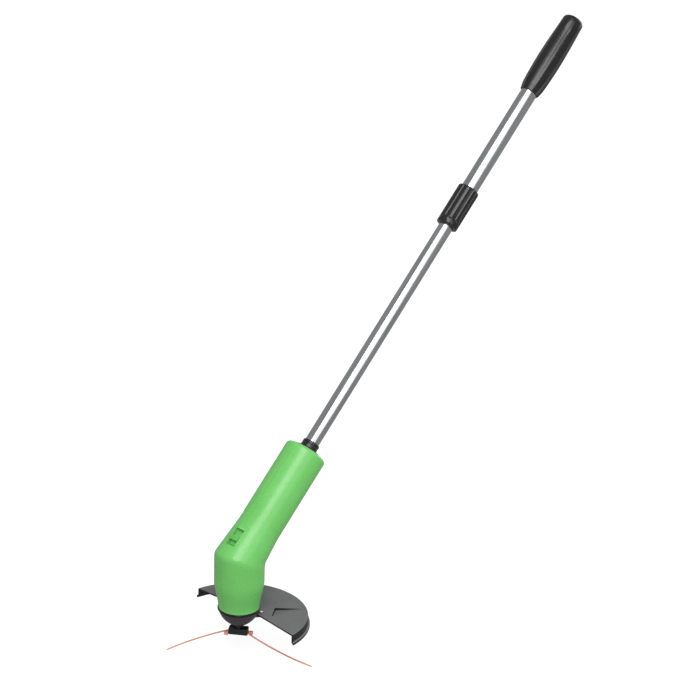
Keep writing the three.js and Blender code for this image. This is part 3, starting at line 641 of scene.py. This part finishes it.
def housing_half(side):
    """Half of the housing: shell, switch pocket, door opening, and screw posts."""
    outside = KNUCKLE_R + 5
    post_ys = sorted((GAP / 2 * side, KNUCKLE_R * side))
    posts = merged(*(cross_rod(axis, SCREW_POST["r"], post_ys) for axis in SCREW_AXES))
    posts = combine(posts, "INTERSECT", barrel_solid(WALL / 2))
    shell = combine(half_shell(side), "UNION", moved(pocket_boss(side), POLE), posts)
    openings = (
        (POCKET, (-outside, POCKET["floor"])),
        (SLOT, (-KNUCKLE_R, POCKET["floor"] + 4)),
        (DOOR, (2, outside)),
    )
    tools = []
    for opening, xs in openings:
        ys = (-opening["half_width"], opening["half_width"])
        tools.append(moved(block(xs, ys, (opening["start"], opening["end"])), POLE))
    hole_r, seat_y = SCREW_POST["hole_r"], SCREW_POST["seat_y"]
    for axis in SCREW_AXES:
        if side > 0:
            tools.append(cross_rod(axis, hole_r, (-1, seat_y + 1)))
            tools.append(cross_rod(axis, SCREW_POST["head_hole_r"], (seat_y, outside)))
        else:
            tools.append(cross_rod(axis, hole_r, (SCREW_POST["hole_end_y"], 1)))
    return combine(shell, "DIFFERENCE", *tools)


def battery_cover():
    """A curved panel that fills the door opening, with thumb ribs at its upper end."""
    slack = 0.4  # to the opening, all round
    half = DOOR["half_width"] - slack
    low, high = DOOR["start"] + slack, DOOR["end"] - slack
    across, along = 28, 30
    rows = []
    for i in range(along + 1):
        s = low + (high - low) * i / along
        ys = [-half + 2 * half * j / across for j in range(across + 1)]
        r = upper_radius(s)
        outside = [Vector((math.sqrt(r**2 - y**2), y, s)) for y in ys]
        inside = [Vector((math.sqrt((r - WALL) ** 2 - y**2), y, s)) for y in reversed(ys)]
        rows.append(outside + inside)
    panel = bevelled(wall(rows), 0.45, 3, 50)
    rib_xs = (UPPER_R - 1.5, UPPER_R + DOOR_RIB["height"])
    rib_ys = (-DOOR_RIB["half_width"], DOOR_RIB["half_width"])
    ribs = [
        bevelled(block(rib_xs, rib_ys, (s, s + DOOR_RIB["length"])), 0.35)
        for s in DOOR_RIB["starts"]
    ]
    return combine(panel, "UNION", *ribs)


add("shell_left", housing_half(-1), GREEN, "housing_left")
add("shell_right", housing_half(1), GREEN, "housing_right")
add("seam_tongues", seam_tongues(), GREEN, "housing_left")
add("battery_door", battery_cover(), GREEN, "battery_cover", POLE)

# ---- Screws ----


def cross_screw(r, length, head_r, head_height):
    """A pan-head screw with a cross recess; its head sits on z = 0."""
    profile = [
        (0, -length), (r * 0.6, -length), (r, -length + r), (r, 0), (head_r, 0),
        (head_r, head_height * 0.55), (head_r * 0.72, head_height), (0, head_height),
    ]
    body = revolved(soften(profile, 0.3), 40)
    arm, depth, half_width = head_r * 0.62, head_height * 0.75, head_r * 0.13
    low, high = head_height - depth, head_height + 1
    bar = block((-arm, arm), (-half_width, half_width), (low, high))
    crossbar = block((-half_width, half_width), (-arm, arm), (low, high))
    return combine(body, "DIFFERENCE", bar, crossbar)


for i, (x, z) in enumerate(SCREW_AXES, 1):
    place = Matrix.Translation((x, SCREW_POST["seat_y"] + GAP, z)) @ FROM_Z_TO_Y
    screw = cross_screw(r=1.4, length=20.5, head_r=2.7, head_height=2)
    add(f"case_screw_{i}", screw, ZINC, f"housing_screw_{i}", place)
for i, side in enumerate((-1, 1), 1):
    place = Matrix.Translation((GUARD_SCREW[0], side * GUARD_SCREW[1], PLATE_TOP + GAP))
    screw = cross_screw(r=1.4, length=7.2, head_r=2.6, head_height=1.7)
    add(f"plate_screw_{i}", screw, ZINC, f"guard_screw_{i}", place)

# ---- Nose, rim and guard ----

NOSE_BOTTOM = span("nose_cap", "z")[0]
NOSE_TOP = 34.7  # where the dome ends and its collar goes on up into the barrel


def nose():
    """The dome: a curved wall, a collar that goes up into the barrel, and two lugs."""
    outside = quadratic((12.5, NOSE_BOTTOM + 0.4), (22.3, 23), (25.6, NOSE_TOP - 0.5), 24)
    collar_r, collar_bore, collar_end = 20.7, 18.9, 39.4
    top = [
        (25.2, NOSE_TOP), (collar_r, NOSE_TOP), (collar_r, collar_end),
        (collar_bore, collar_end), (collar_bore, 33),
    ]
    floor_z = NOSE_BOTTOM + WALL
    inside = quadratic((20.9, 31), (18.4, 22.5), (11.2, floor_z), 10)
    shaft_r = 3.6
    bore = [(shaft_r, floor_z), (shaft_r, NOSE_BOTTOM), (12.0, NOSE_BOTTOM)]
    shell = revolved(outside + top + inside + bore, 96)
    lug_r, web_half, low = LUG["r"], LUG["web_half"], LUG["bottom"]
    high = PLATE_TOP - PLATE_T - GAP
    web_start, web_end = 17.4, math.hypot(*GUARD_SCREW)
    lugs, holes = [], []
    for side in (-1, 1):
        place = Matrix.Rotation(side * math.atan2(GUARD_SCREW[1], GUARD_SCREW[0]), 4, "Z")
        at_screw = place @ Matrix.Translation((web_end, 0, 0))
        boss = soften([(0, low), (lug_r, low), (lug_r, high), (0, high)], 0.5)
        web = block((web_start, web_end), (-web_half, web_half), (low, high))
        lugs.append(moved(revolved(boss, 40), at_screw))
        lugs.append(moved(bevelled(web, 0.4), place))
        holes.append(moved(cylinder(LUG["hole_r"], low - 1, PLATE_TOP), at_screw))
    return combine(combine(shell, "UNION", *lugs), "DIFFERENCE", *holes)


def guard():
    """Flat plate, skirt and flared lip, cut off in front along a shallow V."""
    t, bottom = PLATE_T, PLATE_TOP - PLATE_T
    profile = [
        (PLATE_BORE, PLATE_TOP), (PLATE_R, PLATE_TOP), (PLATE_R, LIP_TOP + 1),
        (LIP_R, LIP_TOP), (LIP_R, LIP_BOTTOM), (LIP_R - t, LIP_BOTTOM),
        (LIP_R - t, LIP_TOP - t), (PLATE_R - t, LIP_TOP - t + 1), (PLATE_R - t, bottom),
        (PLATE_BORE, bottom),
    ]
    pans = [step_wedge(side, t) for side in (-1, 1)]
    full = combine(revolved(soften(profile, 0.8, 4), 180), "UNION", *pans)
    (x, y), (end_x, end_y) = GUARD_FRONT
    outline = [
        (x, 0), (x, -y), (end_x, -end_y), (end_y, -end_y), (end_y, end_y), (end_x, end_y), (x, y),
    ]
    kept = prism(outline, LIP_BOTTOM - 5, PLATE_TOP + 5)
    cuts = []
    for side in (-1, 1):
        at_screw = Matrix.Translation((GUARD_SCREW[0], side * GUARD_SCREW[1], 0))
        cuts.append(moved(cylinder(GUARD_SCREW_HOLE_R, bottom - 5, PLATE_TOP + 5), at_screw))
        cuts.append(step_wedge(side, 0))
    return combine(combine(full, "INTERSECT", kept), "DIFFERENCE", *cuts)


def step_wedge(side, margin):
    """The hollow of the step pressed into the plate or, with a margin, the pan around it."""
    spots = STEP.values()
    middle = Vector((sum(x for x, _, _ in spots) / 3, sum(y for _, y, _ in spots) / 3))
    (corner_x, corner_y, _), (near_x, near_y, _) = STEP["corner"], STEP["near"]
    inward = Vector((near_y - corner_y, corner_x - near_x)).normalized()
    top = PLATE_TOP - PLATE_T + 0.5 if margin else PLATE_TOP + 1
    bm = bmesh.new()
    high, low = [], []
    for name, (x, y, depth) in STEP.items():
        at = Vector((x, y))
        at += (at - middle).normalized() * margin
        high.append(bm.verts.new((at.x, side * at.y, top)))
        if name != "far":
            at += inward * STEP_DRAFT
        low.append(bm.verts.new((at.x, side * at.y, PLATE_TOP - depth - margin)))
    bm.faces.new(high)
    bm.faces.new(low)
    for i in range(3):
        j = (i + 1) % 3
        bm.faces.new((high[i], high[j], low[j]))
        bm.faces.new((high[i], low[j], low[i]))
    return bm


def rim():
    """The ring that fills the joint between the dome and the barrel."""
    inner, outer = 21, 26.8
    low, high = span("rim_ring", "z")
    profile = [(inner, low), (outer, low), (outer, high), (inner, high)]
    return revolved(soften(profile, 0.7), 96)


add("nose", nose(), BLACK_SATIN, "nose_cap")
add("rim", rim(), RIM_BLACK, "rim_ring")
add("guard_plate", guard(), GUARD_GREY, "guard")

# ---- Switch ----


def switch_slider():
    """A thumb block with ridges on a base that covers the slot, and the switch's stem."""
    floor = POCKET["floor"] - GAP
    face = floor - THUMB["height"]
    crest = face - THUMB["ridge"]
    half = POCKET["half_width"] - 0.9
    low, high = SLIDER_AT - THUMB["half_length"], SLIDER_AT + THUMB["half_length"]
    foot = THUMB["ridge_half"]
    outline = [(floor, low), (face, low)]
    for step in (-1, 0, 1):
        at = SLIDER_AT + step * THUMB["pitch"]
        outline += [(face, at - foot), (crest, at - foot / 2)]
        outline += [(crest, at + foot / 2), (face, at + foot)]
    outline += [(face, high), (floor, high)]
    thumb = prism([(x, -s) for x, s in outline], -half, half)
    bevelled(moved(thumb, FROM_Z_TO_Y), 0.3)
    base_zs = (SLIDER_BASE["start"], SLIDER_BASE["end"])
    base = bevelled(block((floor - SLIDER_BASE["t"], floor), (-half, half), base_zs), 0.25)
    stem = block(
        (floor - 1, floor + STEM["reach"]),
        (-STEM["half_width"], STEM["half_width"]),
        (SLIDER_AT - STEM["half_length"], SLIDER_AT + STEM["half_length"]),
    )
    return combine(thumb, "UNION", base, stem)


add("thumb_slider", switch_slider(), DARK_GREEN, "switch_slider", POLE)

# ---- Pole ----


def tube(node, inner, outer):
    """A round tube as long as its CAD node."""
    low, high = span(node, "z", True)
    profile = soften([(inner, low), (outer, low), (outer, high), (inner, high)], 0.25)
    return revolved(profile, 96)


def socket():
    """The plug in the barrel's end: body, flange under the wall, flange over it, ring."""
    start, end = span("pole_socket", "z", True)[0], UPPER_END
    inner_face = end - END_WALL - GAP
    r, bore, ring_r = SOCKET_R, LOWER_TUBE[1] + GAP, 11.2
    profile = [
        (0, start), (r, start), (r, start + 11), (18, start + 11), (18, inner_face),
        (r, inner_face), (r, end + GAP), (16.8, end + GAP), (16.8, end + 1.8),
        (15.8, end + 2.6), (ring_r, end + 3.4), (ring_r, end + 7.4), (10.9, end + 7.8),
        (10.9, end + 8.6), (ring_r, end + 9), (ring_r, end + 11.8), (10.4, end + 12.6),
        (bore, end + 12.6), (bore, start + 2.6), (0, start + 2.6),
    ]
    return revolved(soften(profile, 0.4, 2), 96)


def fluted(outer, inner, count, depth, sides_each=16, phase=0.0):
    """A round piece with flutes. Its outside lists (height, radius, share of the flutes'
    depth), and its inside (height, radius)."""
    sides = count * sides_each
    rows = []
    for s, radius, share in outer + [(s, radius, 0) for s, radius in inner]:
        row = []
        for i in range(sides):
            angle = 2 * math.pi * i / sides
            swing = abs(math.sin(count * (angle - phase) / 2))
            r = radius - depth * share * (1 - (1 - swing) ** 2)
            row.append(Vector((r * math.cos(angle), r * math.sin(angle), s)))
        rows.append(row)
    return strips(rows, closed_along=True)


def lock_sleeve():
    """The twist lock: a plain lip at its lower end, and flutes above it."""
    start, end = span("lock_sleeve", "z", True)
    radius = reach("lock_sleeve", True)
    lip = 7.5
    stations = [
        (start, radius - 1.0, 0), (start + 0.3, radius - 0.4, 0), (start + 1, radius, 0),
        (start + lip - 1.5, radius, 0), (start + lip, radius, 0.15), (start + lip + 1, radius, 0.7),
        (start + lip + 2.5, radius, 1), ((start + end) / 2, radius, 1), (end - 3, radius, 1),
        (end - 1, radius, 0.95), (end - 0.3, radius - 0.4, 0.9), (end, radius - 0.9, 0.8),
    ]
    collet = span("lock_collet", "z", True)
    low, high = collet[0] - 0.5, collet[1] + 0.5
    inner = [
        (end, UPPER_BORE), (high, UPPER_BORE), (high, COLLET_BORE),
        (low, COLLET_BORE), (low, LOWER_BORE), (start, LOWER_BORE),
    ]
    return fluted(stations, inner, 16, 0.9, 12)


def grip():
    """The handle: a swelling fluted body that turns smooth towards its rounded end."""
    start, end = span("grip", "z", True)
    outline = [
        (0, 12.4, 1), (0.4, 12.8, 1), (1.2, 13.0, 1), (6, 14.0, 1), (11, 14.9, 1), (20, 15.5, 1),
        (32, 16, 1), (44, 16.3, 1), (56, 16.4, 1), (68, 16.2, 1), (78, 15.9, 1), (88, 15.5, 0.95),
        (96, 15.2, 0.8), (101, 14.95, 0.5), (106, 14.7, 0.15), (110, 14.5, 0),
    ]
    stations = [(start + along, r, share) for along, r, share in outline]
    rounding, shoulder_r, flat_r, steps = 6, 14.4, 8.2, 8
    for i in range(1, steps + 1):
        turn = math.pi / 2 * i / steps
        r = flat_r + (shoulder_r - flat_r) * math.cos(turn)
        stations.append((end - rounding * (1 - math.sin(turn)), r, 0))
    bore_end = span("upper_tube", "z", True)[1] + GAP
    axis_r = 0.01
    inner = [
        (end, 4), (end, axis_r), (bore_end, axis_r), (bore_end, UPPER_BORE), (start, UPPER_BORE),
    ]
    flutes = 10
    return fluted(stations, inner, flutes, 1.25, phase=math.pi / flutes)


add("inner_tube", tube("lower_tube", *LOWER_TUBE), STEEL, "lower_tube", POLE)
add("outer_tube", tube("upper_tube", *UPPER_TUBE), STEEL, "upper_tube", POLE)
add("pole_collar", socket(), BLACK_GLOSS, "pole_socket", POLE)
add("twist_sleeve", lock_sleeve(), BLACK_GLOSS, "lock_sleeve", POLE, crease=50)
add("handle_grip", grip(), BLACK_GLOSS, "grip", POLE, crease=50)

# ---- Cutter ----

CUTTER = Matrix.Rotation(math.radians(-54), 4, "Z")
HUB_LENGTH, HUB_WIDTH, HUB_HEIGHT = 24.5, 11.8, 8
HUB_TOP = 15.2
TIE = {"width": 2.5, "t": 1.1, "z": 1.7, "y": 2.7}
TIE_HEAD = {"length": 5.2, "half_width": 2.3, "below": 3.6, "above": 0.7}


def hub():
    """A block with chamfered ends, a channel for each tie, and a neck with the shaft's hole."""
    half_l, half_w, corner = HUB_LENGTH / 2, HUB_WIDTH / 2, 1.2
    outline = [
        (half_l, -half_w + corner), (half_l, half_w - corner), (half_l - corner, half_w),
        (-half_l + corner, half_w), (-half_l, half_w - corner), (-half_l, -half_w + corner),
        (-half_l + corner, -half_w), (half_l - corner, -half_w),
    ]
    body = bevelled(prism(outline, 0, HUB_HEIGHT), 0.5, 3)
    low, neck_r = HUB_HEIGHT - 2, 4.5
    neck_profile = [(0, low), (neck_r, low), (neck_r, HUB_TOP), (0, HUB_TOP)]
    neck = revolved(soften(neck_profile, 0.4), 48)
    shaft_hole = cylinder(1.8, 3.7, HUB_TOP + 1.8)
    half, height = TIE["width"] / 2 + GAP, TIE["t"] / 2 + GAP
    channel_xs = (-half_l - 1, half_l + 1)
    channel_zs = (TIE["z"] - height, TIE["z"] + height)
    channels = [block(channel_xs, (y - half, y + half), channel_zs) for y in (-TIE["y"], TIE["y"])]
    return combine(combine(body, "UNION", neck), "DIFFERENCE", shaft_hole, *channels)


def cable_tie(bend, tip):
    """A toothed strap that runs through the hub and droops, with its head at one end."""
    exit_x = HUB_LENGTH / 2
    start, bend_start = -exit_x - 3, exit_x + 0.4
    lead_in_count = taper_count = 12
    reach_x = bend_start - start
    line = [(start + reach_x * i / lead_in_count, TIE["z"]) for i in range(lead_in_count)]
    line += quadratic((bend_start, TIE["z"]), bend, tip, 80)
    taper_start = len(line) - taper_count
    half, t = TIE["width"] / 2, TIE["t"] / 2
    rows = []
    for i, (x, z) in enumerate(line):
        before, after = Vector(line[max(i - 1, 0)]), Vector(line[min(i + 1, len(line) - 1)])
        along = (after - before).normalized()
        taper = 1 - 0.35 * max(0, i - taper_start) / taper_count
        tooth = 0.2 if i % 2 and lead_in_count <= i < taper_start else 0
        section = [
            (-half, -t * 0.6), (-half * 0.85, -t), (half * 0.85, -t), (half, -t * 0.6),
            (half, t * 0.6), (half * 0.85, t), (half * 0.62, t), (half * 0.6, t - tooth),
            (-half * 0.6, t - tooth), (-half * 0.62, t), (-half * 0.85, t), (-half, t * 0.6),
        ]
        rows.append(
            [Vector((x - along.y * h, y * taper, z + along.x * h)) for y, h in section]
        )
    strap = strips(rows, caps=True)
    head_x = -exit_x - GAP
    head_half = TIE_HEAD["half_width"]
    low, high = TIE["z"] - TIE_HEAD["below"], TIE["z"] + TIE_HEAD["above"]
    head = block((head_x - TIE_HEAD["length"], head_x), (-head_half, head_half), (low, high))
    bevelled(head, 0.7, 3)
    pawl = block((-exit_x - 4.4, -exit_x - 1.6), (-1, 1), (low - 1, low + 1.4))
    return combine(combine(strap, "UNION", head), "DIFFERENCE", pawl)


HALF_TURN = Matrix.Rotation(math.pi, 4, "Z")
TIE_SHIFT = Matrix.Translation((0, -TIE["y"], 0))
add("cutter_hub", hub(), BLACK_GLOSS, "hub", CUTTER)
straight_tie = cable_tie(bend=(57, -25), tip=(94, -35.5))
add("straight_tie", straight_tie, ORANGE, "tie_a", CUTTER @ TIE_SHIFT)
curved_tie = cable_tie(bend=(53, -12), tip=(92.5, -35))
add("curved_tie", curved_tie, ORANGE, "tie_b", CUTTER @ HALF_TURN @ TIE_SHIFT)

# ---- Cells, in place of the frame's coarse ones ----


def cell():
    """An AA cell with its flat end on z = 0 and its button up."""
    r, length, button_r, shoulder = 7.25, 50.3, 2.75, 49.3
    profile = [
        (0, 0), (r - 0.65, 0), (r, 0.7), (r, shoulder - 0.7), (r - 0.75, shoulder),
        (button_r + 0.45, shoulder), (button_r, shoulder + 0.2), (button_r, length), (0, length),
    ]
    return revolved(soften(profile, 0.25, 2), 48)


CELL_COUNT = 4
CELL_X = 6
for i in range(1, CELL_COUNT + 1):
    node = f"cell_{i}"
    low, high = span(node, "z", True)
    across = sum(span(node, "y")) / 2
    place = POLE @ Matrix.Translation((CELL_X, across, low))
    if across < 0:
        upside_down = Matrix.Rotation(math.pi, 4, "X")
        place = POLE @ Matrix.Translation((CELL_X, across, high)) @ upside_down
    add(f"aa_{node}", cell(), CELL_WRAP, node, place)

# ---- Finishes for the CAD nodes that stay ----

for name, node in frame["nodes"].items():
    if name not in REPLACED:
        node.data.materials.clear()
        look = SHAFT_STEEL if name == "motor_shaft" else LOOKS[NODE_SLOTS[name]]
        node.data.materials.append(look)

# ---- Studio ----

VIEW_AZIMUTH, VIEW_ELEVATION, VIEW_ROLL = -45.9, 20.9, 1.67  # degrees
VIEW_DISTANCE = 3.0
VIEW_SCALE = 1.1677  # frame widths per metre at the aim's distance
AIM_RIGHT, AIM_UP = 0.1193, 0.3674  # the frame's middle, from the origin
FLOOR_Z = CAD_BOX[0].z - 0.002
MIDDLE = Vector((0.25, 0, 0.35))
LAMP_DISTANCE = 3.0


def view_axes():
    """Unit vectors to the right, up and back towards the camera, before its roll."""
    a, e = math.radians(VIEW_AZIMUTH), math.radians(VIEW_ELEVATION)
    back = Vector((math.sin(a) * math.cos(e), -math.cos(a) * math.cos(e), math.sin(e)))
    right = Vector((math.cos(a), math.sin(a), 0))
    return right, back.cross(right), back


def camera():
    """The camera, turned by its roll about the line of sight."""
    right, up, back = view_axes()
    roll = math.radians(VIEW_ROLL)
    aim = right * AIM_RIGHT + up * AIM_UP
    turned_right = right * math.cos(roll) + up * math.sin(roll)
    turned_up = up * math.cos(roll) - right * math.sin(roll)
    data = bpy.data.cameras.new("camera")
    data.sensor_width = 36
    data.lens = data.sensor_width * VIEW_SCALE * VIEW_DISTANCE
    data.clip_end = 100
    cam = linked("camera", data)
    turn = Matrix((turned_right, turned_up, back)).transposed().to_4x4()
    cam.matrix_world = Matrix.Translation(aim + back * VIEW_DISTANCE) @ turn
    bpy.context.scene.camera = cam


def stripe_direction(across):
    """Where a light stands whose highlight lies across the pole from -1, left, to 1."""
    right, _, back = view_axes()
    facing = (back - POLE_AXIS * back.dot(POLE_AXIS)).normalized()
    side = POLE_AXIS.cross(facing)
    if side.dot(right) < 0:
        side.negate()
    normal = facing * math.sqrt(1 - across**2) + side * across
    return normal * 2 * normal.dot(back) - back


def softbox(name, direction, size, watts):
    """A soft panel that looks at the object's middle from a direction."""
    data = bpy.data.lights.new(name, "AREA")
    data.energy = watts
    data.shape = "RECTANGLE"
    data.size, data.size_y = size
    panel = linked(name, data)
    panel.location = MIDDLE + direction * LAMP_DISTANCE
    panel.rotation_euler = direction.to_track_quat("Z", "Y").to_euler()


def studio_floor():
    """A wide pale floor."""
    look, tree, surface = shader("floor")
    tone = mix(tree, spread(tree, noise(tree, 1.5, 2), 0, 1), srgb("8C8C8C"), srgb("909090"))
    tree.links.new(tone, surface.inputs["Base Color"])
    surface.inputs["Roughness"].default_value = 0.9
    surface.inputs["Emission Color"].default_value = (1, 1, 1, 1)
    surface.inputs["Emission Strength"].default_value = 0.84
    half = 30
    bm = bmesh.new()
    corners = [(-half, -half), (half, -half), (half, half), (-half, half)]
    bm.faces.new([bm.verts.new((x, y, FLOOR_Z)) for x, y in corners])
    mesh = to_mesh(bm, "floor")
    mesh.materials.append(look)
    obj = linked("floor", mesh)
    obj.visible_glossy = False
    obj.visible_diffuse = False


def surround(seen, above, below, mirrored):
    """A plain surround: its brightness to the camera, to matt surfaces from above and
    below, and in reflections."""
    space = bpy.data.worlds.new("studio")
    bpy.context.scene.world = space
    space.use_nodes = True
    tree = space.node_tree
    background = tree.nodes["Background"]
    background.inputs["Color"].default_value = (1, 1, 1, 1)
    coords = tree.nodes.new("ShaderNodeTexCoord")
    split = tree.nodes.new("ShaderNodeSeparateXYZ")
    tree.links.new(coords.outputs["Generated"], split.inputs["Vector"])
    height = tree.nodes.new("ShaderNodeMapRange")
    height.inputs["From Min"].default_value = -1
    height.inputs["To Min"].default_value = below
    height.inputs["To Max"].default_value = above
    tree.links.new(split.outputs["Z"], height.inputs["Value"])
    rays = tree.nodes.new("ShaderNodeLightPath")
    strength = height.outputs["Result"]
    for output, level in (("Is Glossy Ray", mirrored), ("Is Camera Ray", seen)):
        step = tree.nodes.new("ShaderNodeMapRange")
        step.inputs["To Max"].default_value = level
        tree.links.new(strength, step.inputs["To Min"])
        tree.links.new(rays.outputs[output], step.inputs["Value"])
        strength = step.outputs["Result"]
    tree.links.new(strength, background.inputs["Strength"])


bpy.context.scene.view_settings.view_transform = "Standard"
studio_floor()
surround(seen=1.0, above=0.6, below=0.5, mirrored=0.36)
softbox("key", stripe_direction(-0.14), (1.6, 2.6), 62)
softbox("second", stripe_direction(0.16), (1.4, 2.6), 18)
softbox("fill", Vector((0.95, -0.2, 0.25)).normalized(), (2.5, 2.5), 24)
camera()
